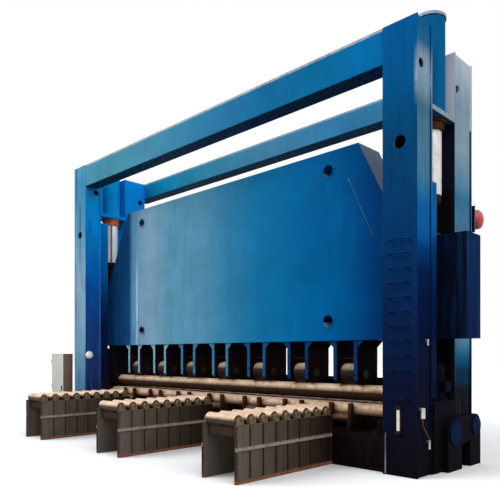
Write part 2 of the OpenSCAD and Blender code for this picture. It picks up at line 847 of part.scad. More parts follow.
// Upright flange motor on top of the reducer, with ring fins, fan cowl and terminal box
module drive_motor() {
    flange_l = 40;
    fin_pitch = 40;
    fin_w = 14;
    fin_h = 18;
    cowl_l = 150;
    r = motor_d / 2;
    box_w = 200;
    box_d = 90;
    fins = floor((motor_l - 2 * fin_pitch) / fin_pitch);
    body_r = r - fin_h;
    motor_back = 80;
    motor_y = (reducer_y0 + reducer_y1) / 2 + motor_back;
    color(drive_blue)
        translate([reducer_x1 - motor_d / 2 - 60, motor_y, reducer_h]) {
            cylinder(d = motor_d + 80, h = flange_l);
            cylinder(r = body_r, h = flange_l + motor_l);
            for (k = [1 : fins])
                translate([0, 0, flange_l + k * fin_pitch])
                    cylinder(r = r, h = fin_w);
            translate([0, 0, flange_l + motor_l - fin_w])
                rotate_extrude()
                    polygon([[0, 0], [r, 0], [r, cowl_l - 60], [r - 60, cowl_l], [0, cowl_l]]);
            slab([body_r - 20, r + box_d], [-box_w / 2, box_w / 2],
                [flange_l + motor_l / 4, flange_l + motor_l / 4 + box_w]);
        }
}

// Bent-bar rungs welded to the front of the right front column
module ladder_rungs() {
    bar_in = front_face_y - rung_out;
    color(frame_blue)
        for (k = [0 : rung_count - 1])
            translate([column_x, 0, rung_z + k * rung_pitch]) {
                bar_x(rung_d, -rung_w / 2, rung_w / 2, bar_in, 0);
                for (side = [-1, 1])
                    translate([side * rung_w / 2, 0, 0]) {
                        bar_y(rung_d, 0, bar_in, front_face_y, 0);
                        translate([0, bar_in, 0])
                            sphere(d = rung_d);
                    }
            }
}

// Oil sight gauge low on the right front column: dark back plate with two end blocks
gauge_w = 110;
gauge_h = 500;
gauge_z = 770;
gauge_block_h = 60;
gauge_plate_t = 14;
gauge_tube_d = 56;
gauge_tube_y = front_face_y - gauge_plate_t - gauge_tube_d / 2 - 4;

module gauge_frame() {
    block_d = gauge_tube_d + 16;
    color(dark_steel)
        translate([column_x, 0, gauge_z]) {
            slab([-gauge_w / 2, gauge_w / 2], [front_face_y - gauge_plate_t, front_face_y], [0, gauge_h]);
            for (z = [0, gauge_h - gauge_block_h])
                slab([-gauge_w / 2 + 10, gauge_w / 2 - 10],
                    [front_face_y - gauge_plate_t - block_d, front_face_y - gauge_plate_t],
                    [z, z + gauge_block_h]);
        }
}

module gauge_tube() {
    color(chrome_white)
        translate([column_x, gauge_tube_y, gauge_z + gauge_block_h])
            cylinder(d = gauge_tube_d, h = gauge_h - 2 * gauge_block_h);
}

// Lubricator bowl with its head block, on the outer side of the right front column
module lubricator(d, h, y, z) {
    web_x = outer_x - flange_lip;
    block_h = 40;
    stand = 20;
    dome = d / 4;
    r = d / 2;
    arc = [for (a = [15 : 15 : 75]) [r * sin(a), dome * (1 - cos(a))]];
    translate([web_x + stand + r, y, z])
        rotate_extrude()
            polygon(concat([[0, 0]], arc, [[r, dome], [r, h], [0, h]]));
    slab([web_x, web_x + stand + r], [y - r / 2, y + r / 2], [z + h - block_h, z + h]);
}

module lubricators() {
    color(chrome_white) {
        lubricator(lubricator_d, lubricator_h, front_face_y + 130, 1050);
        lubricator(0.5 * lubricator_d, 0.85 * lubricator_h, front_back_y - 140, 475);
        lubricator(0.45 * lubricator_d, 0.6 * lubricator_h, front_back_y - 195, 2360);
    }
}

// Roller table: two ribbed walls with rails, cross plates and bearing blocks
module table(place) {
    rail_h = 60;
    rail_z = [0, 0.56 * table_wall_h];
    rib_pitch = table_l / 8;
    cross_t = 25;
    cross_in = 105;
    cross_z = [table_axis_z - table_roller_d / 2 - 170, table_axis_z - table_roller_d / 2 - 30];
    wall_x1 = table_wall_x + table_wall_t;
    block_w = 2 * table_journal_d;
    color(table_brown)
        translate([place * table_pitch + table_shift, 0, 0])
            difference() {
                union() {
                    both_ends() {
                        slab([table_wall_x, wall_x1], [table_y0, table_y1], [0, table_wall_h]);
                        for (z = rail_z)
                            slab([wall_x1 - 1, table_half], [table_y0, table_y1], [z, z + rail_h]);
                        for (k = [0 : 8])
                            table_rib(table_y0 + (table_l - table_rib_w) * k / 8);
                        for (row = [0 : table_rollers - 1]) {
                            slab([table_block_x, table_block_x + table_block_t],
                                [table_roller_y(row) - block_w / 2, table_roller_y(row) + block_w / 2],
                                [table_wall_h, table_axis_z]);
                            bar_x(block_w, table_block_x, table_block_x + table_block_t,
                                table_roller_y(row), table_axis_z);
                        }
                    }
                    for (y = [table_y0 + cross_in, (table_y0 + table_y1) / 2, table_y1 - cross_in])
                        slab([-table_wall_x - 1, table_wall_x + 1], [y - cross_t / 2, y + cross_t / 2],
                            cross_z);
                }
                for (row = [0 : table_rollers - 1])
                    bar_x(table_journal_d + 2 * run_clear, -table_half, table_half, table_roller_y(row),
                        table_axis_z);
            }
}

// Upright rib on the outside of a table wall
module table_rib(y) {
    slab([table_wall_x + table_wall_t - 1, table_half], [y, y + table_rib_w], [0, table_wall_h]);
}

// One row of table rollers, turning together under the same plate
module table_roller(row) {
    r = table_roller_d / 2;
    jr = table_journal_d / 2;
    half = table_wall_x - table_roller_gap - (table_block_t - table_wall_t) / 2;
    end = table_block_x + table_block_t;
    edge = 6;
    color(roll_steel)
        for (place = [-1 : 1])
            translate([place * table_pitch + table_shift, table_roller_y(row), table_axis_z])
                turned_x([[0, -end], [jr, -end], [jr, -half], [r - edge, -half], [r, -half + edge],
                    [r, half - edge], [r - edge, half], [jr, half], [jr, end], [0, end]]);
}

// Electrical cabinet beside the left portal: sheet case with a plinth and one hinged door
cabinet_x1 = -outer_x - cabinet_gap;
cabinet_x0 = cabinet_x1 - cabinet_w;
cabinet_y0 = front_face_y - 180;
cabinet_y1 = cabinet_y0 + cabinet_d;
cabinet_plinth = 100;
door_gap = 2;
door_t = cabinet_wall;
handle_x = cabinet_x1 - 90;
handle_z = 1150;
hinge_d = 20;
hinge_pin_d = 10;
hinge_l = 60;
hinge_leaf_t = 6;
hinge_leaf_w = 60;
hinge_gap = 0.4;
hinge_x = cabinet_x0 - hinge_d / 2 - 2;
hinge_places = [cabinet_plinth + 250, (cabinet_plinth + cabinet_h) / 2, cabinet_h - 250];

module cabinet() {
    case_y0 = cabinet_y0 + door_t + door_gap;
    plinth_in = 20;
    color(cabinet_grey)
        difference() {
            union() {
                slab([cabinet_x0, cabinet_x1], [case_y0, cabinet_y1], [cabinet_plinth, cabinet_h]);
                slab([cabinet_x0 + plinth_in, cabinet_x1 - plinth_in],
                    [case_y0 + plinth_in, cabinet_y1 - plinth_in], [0, cabinet_plinth]);
                for (z = hinge_places) {
                    translate([hinge_x, cabinet_y0, z - hinge_l])
                        cylinder(d = hinge_d, h = hinge_l);
                    slab([cabinet_x0 - hinge_leaf_t, cabinet_x0], [cabinet_y0, case_y0 + hinge_leaf_w],
                        [z - hinge_l, z]);
                }
            }
            for (z = hinge_places)
                translate([hinge_x, cabinet_y0, z - hinge_l - 1])
                    cylinder(d = hinge_pin_d + 2 * run_clear, h = hinge_l + 2);
            slab([cabinet_x0 + cabinet_wall, cabinet_x1 - cabinet_wall],
                [case_y0 - 1, cabinet_y1 - cabinet_wall],
                [cabinet_plinth + cabinet_wall, cabinet_h - cabinet_wall]);
        }
}

module cabinet_door() {
    color(cabinet_grey) {
        for (z = hinge_places) {
            translate([hinge_x, cabinet_y0, z + hinge_gap])
                cylinder(d = hinge_d, h = hinge_l);
            translate([hinge_x, cabinet_y0, z - hinge_l])
                cylinder(d = hinge_pin_d, h = 2 * hinge_l);
            slab([hinge_x, cabinet_x0 + hinge_leaf_w], [cabinet_y0 - hinge_leaf_t, cabinet_y0],
                [z + hinge_gap, z + hinge_gap + hinge_l]);
        }
        difference() {
            slab([cabinet_x0 + door_gap, cabinet_x1 - door_gap], [cabinet_y0, cabinet_y0 + door_t],
                [cabinet_plinth + door_gap, cabinet_h - door_gap]);
            bar_y(handle_shaft_d + 2 * run_clear, handle_x, cabinet_y0 - 1, cabinet_y0 + door_t + 1,
                handle_z);
        }
    }
}

// Swing handle: a shaft through the door, a round rose and an upright grip
handle_shaft_d = 20;

module cabinet_handle() {
    rose_d = 50;
    rose_t = 12;
    grip_l = 130;
    grip_w = 24;
    grip_t = 18;
    stand_off = 1;
    face_y = cabinet_y0 - stand_off;
    color(dark_steel) {
        bar_y(handle_shaft_d, handle_x, face_y, cabinet_y0 + door_t, handle_z);
        bar_y(rose_d, handle_x, face_y - rose_t, face_y, handle_z);
        slab([handle_x - grip_w / 2, handle_x + grip_w / 2], [face_y - rose_t - grip_t, face_y - rose_t],
            [handle_z - grip_l, handle_z + grip_w / 2]);
    }
}

// Red pressure vessel lying in two saddles behind the right rear column
vessel_stand = 40;
vessel_clear = 0.3;
vessel_proud = 120;
vessel_x1 = outer_x + vessel_proud;
vessel_y = rear_back_y + vessel_stand + vessel_d / 2;
vessel_z = 5000;

module vessel_bracket() {
    plate_t = 25;
    plate_out = 60;
    plate_in = 640;
    plate_low = 300;
    plate_high = 240;
    saddle_t = 40;
    saddle_low = 60;
    saddle_span = 320;
    color(frame_blue) {
        slab([outer_x - plate_in, outer_x + plate_out], [rear_back_y, rear_back_y + plate_t],
            [vessel_z - plate_low, vessel_z + plate_high]);
        difference() {
            for (x = [vessel_x1 - (vessel_l + saddle_span) / 2, vessel_x1 - (vessel_l - saddle_span) / 2])
                slab([x - saddle_t / 2, x + saddle_t / 2], [rear_back_y, vessel_y],
                    [vessel_z - vessel_d / 2 - saddle_low, vessel_z]);
            bar_x(vessel_d + 2 * vessel_clear, vessel_x1 - vessel_l, vessel_x1, vessel_y, vessel_z);
        }
    }
}

module pressure_vessel() {
    r = vessel_d / 2;
    dome = vessel_d / 4;
    arc = [for (a = [15 : 15 : 75]) [r * sin(a), dome * (1 - cos(a))]];
    color(vessel_red)
        translate([vessel_x1 - vessel_l, vessel_y, vessel_z])
            turned_x(concat([[0, 0]], arc, [[r, dome]], [[r, vessel_l - dome]],
                [for (k = [len(arc) - 1 : -1 : 0]) [arc[k][0], vessel_l - arc[k][1]]], [[0, vessel_l]]));
}

bed();
front_column(-1);  // left_front_column
front_column(1);  // right_front_column
rear_column(-1);  // left_rear_column
rear_column(1);  // right_rear_column
crown_plate(-1);  // left_crown_plate
crown_plate(1);  // right_crown_plate
front_tie_beam();
rear_tie_beam();
beam_guides();
ram_barrel(-1);  // left_ram_barrel
ram_barrel(1);  // right_ram_barrel
gland(-1);  // left_gland
gland(1);  // right_gland
plunger(-1);  // left_plunger
plunger(1);  // right_plunger
knuckle(-1);  // left_knuckle
knuckle(1);  // right_knuckle
press_beam();
upper_brackets();
upper_backing_pins();
upper_roll_bearings();
upper_roll();
upper_backing_rollers();
lower_brackets();
lower_backing_pins();
lower_roll_bearings();
lower_roll(-1);  // front_lower_roll
lower_roll(1);  // rear_lower_roll
coupling(-1);  // front_coupling
coupling(1);  // rear_coupling
backing_row(0);  // backing_row_1
backing_row(1);  // backing_row_2
backing_row(2);  // backing_row_3
backing_row(3);  // backing_row_4
reducer();
gear_case();
drive_motor();
ladder_rungs();
gauge_frame();
gauge_tube();
lubricators();
table(-1);  // left_table
table(0);  // middle_table
table(1);  // right_table
table_roller(0);  // table_roller_1
table_roller(1);  // table_roller_2
table_roller(2);  // table_roller_3
table_roller(3);  // table_roller_4
table_roller(4);  // table_roller_5
table_roller(5);  // table_roller_6
table_roller(6);  // table_roller_7
table_roller(7);  // table_roller_8
table_roller(8);  // table_roller_9
cabinet();
cabinet_door();
cabinet_handle();
vessel_bracket();
pressure_vessel();
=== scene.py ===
import math

import bpy
import numpy as np
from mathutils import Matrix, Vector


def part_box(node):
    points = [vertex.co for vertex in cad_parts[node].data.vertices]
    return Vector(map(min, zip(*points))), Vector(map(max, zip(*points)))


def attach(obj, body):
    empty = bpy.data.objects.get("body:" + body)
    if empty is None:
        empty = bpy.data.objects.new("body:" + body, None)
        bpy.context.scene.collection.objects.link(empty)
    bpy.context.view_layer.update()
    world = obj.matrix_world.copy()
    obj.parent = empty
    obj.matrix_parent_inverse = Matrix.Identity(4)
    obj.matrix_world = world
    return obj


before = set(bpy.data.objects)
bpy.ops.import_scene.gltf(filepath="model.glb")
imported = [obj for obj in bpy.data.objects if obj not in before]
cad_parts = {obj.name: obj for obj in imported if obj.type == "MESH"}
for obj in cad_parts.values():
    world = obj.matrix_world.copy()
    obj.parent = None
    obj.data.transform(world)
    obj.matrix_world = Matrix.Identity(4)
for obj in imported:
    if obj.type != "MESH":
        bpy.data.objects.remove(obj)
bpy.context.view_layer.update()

# Camera: eye height of a person on a low platform, off the right end of the machine, level and
# turned 44.6 degrees to the left. A rising lens keeps the columns upright, so the horizon lies low.
camera = bpy.data.objects.new("camera", bpy.data.cameras.new("camera"))
bpy.context.scene.collection.objects.link(camera)
camera.location = (11.0615, -10.3622, 2.196)
camera.rotation_euler = (math.pi / 2, 0, math.radians(44.643))
camera.data.sensor_fit = "HORIZONTAL"
camera.data.sensor_width = 36.0
camera.data.lens = 41.034
camera.data.shift_y = 0.20969
camera.data.clip_end = 400
bpy.context.scene.camera = camera
bpy.context.scene.view_settings.view_transform = "Standard"


# Studio: a white floor and surround, one broad lamp from the feeding side and one from the driven end.
# The floor gives little light back and the sky is brighter low down, so undersides stay dark as in a hall.
def linear(hex_code):
    """sRGB hex to linear red, green, blue and alpha, by the sRGB curve."""
    c = np.array([int(hex_code[i:i + 2], 16) for i in (1, 3, 5)]) / 255
    return (*np.where(c <= 0.04045, c / 12.92, ((c + 0.055) / 1.055) ** 2.4).tolist(), 1.0)


def put(tree, kind, sockets=None, **settings):
    """Adds one shader node; settings are its properties, sockets its inputs as values or links."""
    made = tree.nodes.new("ShaderNode" + kind)
    for key, value in settings.items():
        setattr(made, key, value)
    for key, value in (sockets or {}).items():
        if isinstance(value, bpy.types.NodeSocket):
            tree.links.new(value, made.inputs[key])
        else:
            made.inputs[key].default_value = value
    return made


def showing_rays(tree):
    """1 for rays that show the surround itself, straight on, mirrored or through glass; 0 for fill light."""
    path = put(tree, "LightPath")
    seen = put(tree, "Math", {0: path.outputs["Is Camera Ray"], 1: path.outputs["Is Glossy Ray"]},
               operation="MAXIMUM")
    seen = put(tree, "Math", {0: seen.outputs[0], 1: path.outputs["Is Transmission Ray"]},
               operation="MAXIMUM")
    return seen.outputs[0]


floor_half, floor_drop = 90.0, 0.002
floor_mesh = bpy.data.meshes.new("floor")
floor_mesh.from_pydata([(-floor_half, -floor_half, 0), (floor_half, -floor_half, 0),
                        (floor_half, floor_half, 0), (-floor_half, floor_half, 0)], [], [(0, 1, 2, 3)])
floor = bpy.data.objects.new("floor", floor_mesh)
bpy.context.scene.collection.objects.link(floor)
floor.location.z = -floor_drop

concrete = bpy.data.materials.new("pale_sealed_concrete")
concrete.use_nodes = True
tree = concrete.node_tree
tree.nodes.clear()
shown = put(tree, "BsdfDiffuse", {"Color": linear("#FAFAFA")})
given_back = put(tree, "BsdfDiffuse", {"Color": linear("#5A5550")})
either = put(tree, "MixShader", {0: showing_rays(tree), 1: given_back.outputs[0], 2: shown.outputs[0]})
put(tree, "OutputMaterial", {"Surface": either.outputs[0]})
floor_mesh.materials.append(concrete)

world = bpy.data.worlds.new("studio")
bpy.context.scene.world = world
world.use_nodes = True
tree = world.node_tree
tree.nodes.clear()
height = put(tree, "SeparateXYZ", {0: put(tree, "TexCoord").outputs["Generated"]})
level = put(tree, "MapRange", {"Value": height.outputs["Z"], "From Max": 1.0, "To Min": 1.1, "To Max": 0.5})
fill = put(tree, "Background", {"Color": (1, 1, 1, 1), "Strength": level.outputs[0]})
white = put(tree, "Background", {"Color": (1, 1, 1, 1), "Strength": 1.0})
either = put(tree, "MixShader", {0: showing_rays(tree), 1: fill.outputs[0], 2: white.outputs[0]})
put(tree, "OutputWorld", {"Surface": either.outputs[0]})


def soft_lamp(name, strength, spread_deg, elevation_deg, azimuth_deg):
    """Distant lamp with a wide disc; azimuth 0 shines from -Y and 90 from +X."""
    lamp = bpy.data.lights.new(name, "SUN")
    lamp.energy = strength
    lamp.angle = math.radians(spread_deg)
    holder = bpy.data.objects.new(name, lamp)
    bpy.context.scene.collection.objects.link(holder)
    holder.rotation_euler = (math.radians(90 - elevation_deg), 0, math.radians(azimuth_deg))


soft_lamp("front_lamp", strength=1.9, spread_deg=40, elevation_deg=35, azimuth_deg=-35)
soft_lamp("end_lamp", strength=1.25, spread_deg=50, elevation_deg=35, azimuth_deg=80)


# Bed: a welded box of thick plate that stands on the foundation and carries the lower comb.
# Near-black enamel, with brown rust where it ran down.
def dress(material, *names):
    """Puts a material in place of those that the named solids came with."""
    for name in names:
        worn_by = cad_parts[name].data.materials
        worn_by.clear()
        worn_by.append(material)


def by_place(tree, value, stops):
    """Colour that runs through the stops, pairs of metres and hex colour, as the value grows."""
    low, high = stops[0][0], stops[-1][0]
    share = put(tree, "MapRange", {"Value": value, "From Min": low, "From Max": high})
    ramp = put(tree, "ValToRGB", {"Fac": share.outputs[0]})
    spots = ramp.color_ramp.elements
    spots[0].color = linear(stops[0][1])
    spots[1].color = linear(stops[-1][1])
    for metres, hex_code in stops[1:-1]:
        spots.new((metres - low) / (high - low)).color = linear(hex_code)
    return ramp.outputs["Color"]


def inside(tree, at, box):
    """1 within the low and high limits of every axis named in the box. The edges are 12 mm soft to either
    side, or as soft as a third number says."""
    share = None
    for axis, (low, high, *own) in box.items():
        soft = own[0] if own else 0.012
        for edge, first, last in ((low, 0.0, 1.0), (high, 1.0, 0.0)):
            step = put(tree, "MapRange", {"Value": at[axis], "From Min": edge - soft, "From Max": edge + soft,
                                          "To Min": first, "To Max": last}).outputs[0]
            share = step if share is None else put(tree, "Math", {0: share, 1: step},
                                                   operation="MULTIPLY").outputs[0]
    return share


def enamel(name, main, ends=None, marks=(), stain="#0A1830", stain_share=0.3, run_mm=60, fold=None,
           roughness=0.45, shine=0.004):
    """Brushed machine enamel on plate. main is an axis and its colour stops, ends the same for faces that
    look along X. Run-down stains are run_mm wide and taller than wide. marks are worn or dirty places and
    painted highlights and shade: colour, share and limits by axis, NX to NZ being the way that the face
    looks;
    they are patchy unless the share is 1. fold gives a start and a pitch along X, so that the same marks
    repeat on equal neighbours.
    shine is the strength of the mirror image, which dusty enamel all but lacks.
    The brushed peel, really 1 to 2 mm wide, is drawn 12 mm wide so that it shows."""
    cloud_m, run_height_m, patch_m, peel_m = 0.9, 1.6, 0.09, 0.012
    made = bpy.data.materials.new(name)
    made.use_nodes = True
    tree = made.node_tree
    shader = tree.nodes["Principled BSDF"]
    place = put(tree, "TexCoord").outputs["Object"]
    split = put(tree, "SeparateXYZ", {0: place})
    looks = put(tree, "SeparateXYZ", {0: put(tree, "NewGeometry").outputs["Normal"]})
    at = {axis: split.outputs[axis] for axis in "XYZ"} | {"N" + axis: looks.outputs[axis] for axis in "XYZ"}
    if fold:
        along = put(tree, "Math", {0: at["X"], 1: fold[0]}, operation="SUBTRACT")
        at["X"] = put(tree, "Math", {0: along.outputs[0], 1: fold[1] / 2}, operation="PINGPONG").outputs[0]
    colour = by_place(tree, at[main[0]], main[1])
    if ends:
        sideways = put(tree, "Math", {0: at["NX"]}, operation="ABSOLUTE")
        sideways = put(tree, "MapRange", {"Value": sideways.outputs[0], "From Min": 0.6, "From Max": 0.8})
        end_colour = by_place(tree, at[ends[0]], ends[1])
        colour = put(tree, "Mix", {0: sideways.outputs[0], 6: colour, 7: end_colour},
                     data_type="RGBA").outputs[2]
    cloud = put(tree, "TexNoise", {"Vector": place, "Scale": 1 / cloud_m, "Detail": 6.0, "Roughness": 0.6})
    runs = put(tree, "Mapping", {"Vector": place, "Scale": (1000 / run_mm, 1000 / run_mm, 1 / run_height_m)})
    runs = put(tree, "TexNoise", {"Vector": runs.outputs[0], "Scale": 1.0, "Detail": 3.0})
    runs = put(tree, "MapRange", {"Value": runs.outputs["Fac"], "From Min": 0.5, "From Max": 0.78,
                                  "To Max": stain_share})
    colour = put(tree, "Mix", {0: runs.outputs[0], 6: colour, 7: linear(stain)}, data_type="RGBA").outputs[2]
    patch = put(tree, "TexNoise", {"Vector": place, "Scale": 1 / patch_m, "Detail": 4.0})
    broken = put(tree, "MapRange", {"Value": patch.outputs["Fac"], "From Min": 0.35, "From Max": 0.55,
                                    "To Min": 0.55, "To Max": 1.0})
    for hex_code, share, box in marks:
        cover = put(tree, "Math", {0: inside(tree, at, box), 1: share}, operation="MULTIPLY")
        if share < 1:
            cover = put(tree, "Math", {0: cover.outputs[0], 1: broken.outputs[0]}, operation="MULTIPLY")
        colour = put(tree, "Mix", {0: cover.outputs[0], 6: colour, 7: linear(hex_code)},
                     data_type="RGBA").outputs[2]
    shade = put(tree, "MapRange", {"Value": cloud.outputs["Fac"], "From Min": 0.3, "From Max": 0.7,
                                   "To Min": 0.86, "To Max": 1.12})
    colour = put(tree, "Mix", {0: 1.0, 6: colour, 7: shade.outputs[0]}, data_type="RGBA",
                 blend_type="MULTIPLY").outputs[2]
    tree.links.new(colour, shader.inputs["Base Color"])
    rough = put(tree, "MapRange", {"Value": cloud.outputs["Fac"], "From Min": 0.3, "From Max": 0.7,
                                   "To Min": roughness - 0.06, "To Max": roughness + 0.1})
    tree.links.new(rough.outputs[0], shader.inputs["Roughness"])
    shader.inputs["Specular IOR Level"].default_value = shine
    peel = put(tree, "TexNoise", {"Vector": place, "Scale": 1 / peel_m, "Detail": 2.0})
    bump = put(tree, "Bump", {"Height": peel.outputs["Fac"], "Strength": 0.08, "Distance": 0.002})
    tree.links.new(bump.outputs[0], shader.inputs["Normal"])
    return made


bed_enamel = enamel("near_black_bed_enamel", ("Z", [(0.0, "#120E0C"), (0.62, "#1A1314")]), stain="#2E1B10",
                    stain_share=0.6, run_mm=90, roughness=0.55)
dress(bed_enamel, "bed")

# Left portal: two welded box columns with a crown plate between them, in blue enamel.
# The front face is pale and streaked with pale runs. The inner faces are a bright blue that darkens
# low down.
left_front = enamel("pale_front_blue_enamel",
                    ("Z", [(0.0, "#2C3240"), (1.7, "#5A86A4"), (3.0, "#7CA4BC"), (4.6, "#84A8BE"),
                           (6.2, "#5A98B8"), (7.7, "#3F8FB8"), (8.2, "#5A9AB8")]),
                    ends=("Z", [(0.3, "#1C1C34"), (1.7, "#263A78"), (3.0, "#1B4688"), (4.6, "#0A62BA"),
                                (6.2, "#068CE0"), (7.0, "#0E96E6"), (8.2, "#44A0D0")]),
                    stain="#1F5C92", stain_share=0.9, run_mm=150)
dress(left_front, "left_front_column")
left_rear = enamel("bright_blue_enamel",
                   ("Z", [(0.0, "#101020"), (2.0, "#122450"), (4.0, "#0C4C94"), (6.0, "#087CCC"),
                          (8.1, "#0A92EA")]),
                   stain="#0A4C8C", stain_share=0.35)
dress(left_rear, "left_rear_column", "left_crown_plate")

# Right portal: the same two columns at the driven end. Its front is deep blue and nearly black at the floor;
# the outer sides are painted pale high up, as light falling on them, and are black below.
right_front = enamel("deep_blue_enamel",
                     ("Z", [(0.0, "#100D14"), (0.65, "#100F1B"), (1.75, "#0E1734"), (3.2, "#0B2754"),
                            (4.6, "#053A6C"), (5.9, "#084270"), (7.0, "#035286"), (8.2, "#035C9D")]),
                     ends=("Z", [(0.3, "#120F10"), (1.75, "#0E1225"), (3.2, "#081A42"), (3.72, "#0A2456"),
                                 (4.08, "#063C7C"), (4.35, "#0A5CA6"), (4.9, "#0868AE"), (5.1, "#2276B0"),
                                 (5.34, "#3E82A6"), (5.6, "#4C7E9C"), (6.33, "#5080A0"), (6.68, "#4A728C"),
                                 (6.96, "#7294A6"), (7.3, "#869EB8"), (7.6, "#849AAE"), (7.85, "#266A9A"),
                                 (8.2, "#0E5E94")]),
                     # A painted highlight runs down the right edge of the front column's face, high up.
                     marks=[("#BCD6E6", 0.8, {"NY": (-1.5, -0.6), "X": (6.07, 6.3, 0.045),
                                              "Z": (6.85, 7.5, 0.25)})],
                     stain="#081C3C", stain_share=0.35, run_mm=80)
dress(right_front, "right_front_column", "ladder_rungs")
right_rear = enamel("pale_lit_blue_enamel",
                    ("Z", [(0.0, "#0E0E16"), (1.5, "#0C1830"), (3.0, "#0E3A62"), (5.0, "#225E88"),
                           (8.1, "#5A86A2")]),
                    ends=("Z", [(1.2, "#0E0C0D"), (1.52, "#100F12"), (1.62, "#08283E"), (1.9, "#073153"),
                                (2.2, "#1E6288"), (2.5, "#5A8BA6"), (3.6, "#3A6C90"), (4.9, "#4A7CA0"),
                                (5.3, "#347498"), (5.7, "#6490AA"), (6.3, "#88A4B4"), (7.1, "#7E98AA"),
                                (7.8, "#A8BAC8"), (8.1, "#B4C2CC")]),
                    # The rear column's front face is painted near black below the crown plate, as its shade,
                    # and near white above it, as light.
                    marks=[("#171A2A", 1.0, {"NY": (-1.5, -0.6), "Z": (-1.0, 6.76)}),
                           ("#E8EAF0", 1.0, {"NY": (-1.5, -0.6), "Z": (6.76, 9.0)})],
                    stain="#3C6A8C", stain_share=0.3)
dress(right_rear, "right_rear_column", "right_crown_plate", "vessel_bracket")

# Tie beams: long welded tubes that hold the portals apart, the front one flush with the column fronts.
# The front one is paler teal over its left half; the top edges carry a painted pale highlight, and the lower
# edges are darker.
front_tie = enamel("blue_tie_enamel",
                   ("X", [(-5.4, "#4E93AE"), (-4.5, "#4A92AA"), (-1.9, "#4A8EAC"), (0.2, "#327EA8"),
                          (2.3, "#166A9E"), (3.9, "#066899"), (5.0, "#0268A4")]),
                   # A painted highlight runs along the top edge; the band along the lower edge is darker.
                   marks=[("#C2C4BE", 0.75, {"Y": (-1.2, -1.09), "Z": (8.19, 8.3)}),
                          ("#0A2A44", 0.85, {"Z": (7.5, 7.575)})],
                   stain="#2A6C94", stain_share=0.3)
dress(front_tie, "front_tie_beam")
rear_tie = enamel("pale_blue_tie_enamel",
                  ("X", [(-5.9, "#0E7CB0"), (-4.0, "#1684AA"), (0.0, "#4989AA"), (3.0, "#3780AF"),
                         (5.9, "#4280A3")]),
                  # A painted highlight runs along the top edge; the band along the lower edge is darker.
                  marks=[("#B8BEBE", 0.6, {"Y": (1.1, 1.15), "Z": (8.05, 8.2)}),
                         ("#0A2A44", 0.8, {"Z": (7.5, 7.595)})],
                  stain="#2A6C94", stain_share=0.3)
dress(rear_tie, "rear_tie_beam")

# Rams: turned barrels on the crown plates, bronze glands below and hard-chromed plungers.
# The left gland is raw orange bronze, the right one painted dark brown as the shade under its crown plate;
# each plunger has one upright reflection streak painted on, dark on the left and pinkish on the right.
# The left barrel is painted a brighter blue than the right, as light; a painted pale highlight runs round the
# top of each barrel.
barrel_enamel = enamel("blue_barrel_enamel", ("X", [(-6.0, "#0A94DC"), (-5.0, "#0A94DC"), (5.0, "#0C6093"),
                                                    (6.0, "#0C6093")]),
                       marks=[("#C8CACC", 0.7, {"NZ": (-0.5, 0.85), "Z": (8.66, 8.8)})],
                       stain="#0A4674", stain_share=0.35)
dress(barrel_enamel, "left_ram_barrel", "right_ram_barrel")


